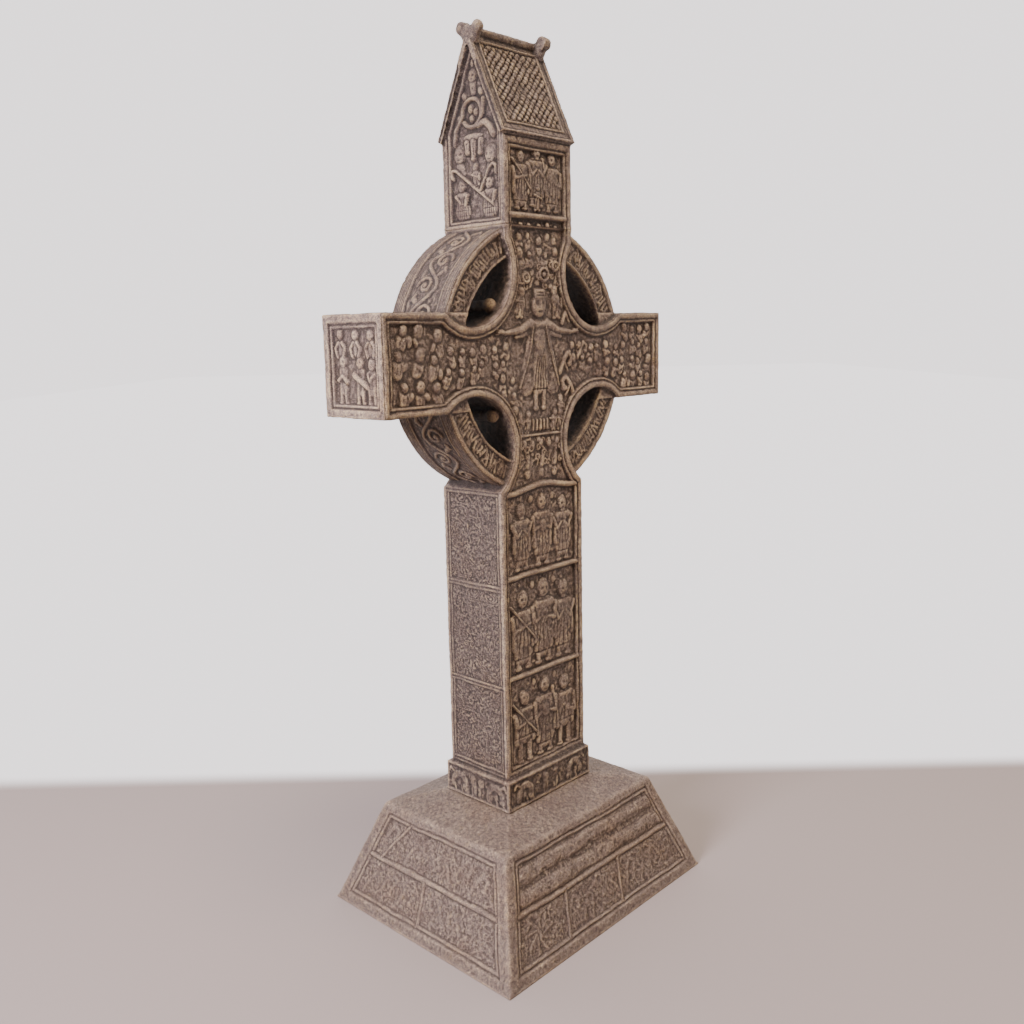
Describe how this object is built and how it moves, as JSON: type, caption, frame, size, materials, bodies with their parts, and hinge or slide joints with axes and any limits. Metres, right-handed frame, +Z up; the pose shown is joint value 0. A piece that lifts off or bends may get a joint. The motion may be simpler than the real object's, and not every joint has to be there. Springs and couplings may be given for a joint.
{
  "type": "celtic cross gravestone",
  "caption": "Tall ringed cross on a tapered plinth under a house-shaped cap, with sunk panels of worn figure and interlace relief.",
  "frame": {"origin": "middle of the plinth's underside, on the floor", "axes": "+Z up, the carved front faces -Y, the arms lie along X"},
  "size_m": [1.0156, 0.652, 2.2281],
  "materials": {
    "plinth_paint": "matt stone-effect paint over a hollow moulding",
    "cross_paint": "matt stone-effect paint over a hollow moulding",
    "cap_paint": "matt stone-effect paint over a hollow moulding"
  },
  "bodies": {
    "root": {"plinth": "plinth_paint", "cross": "cross_paint", "cap": "cap_paint"}
  },
  "joints": []
}
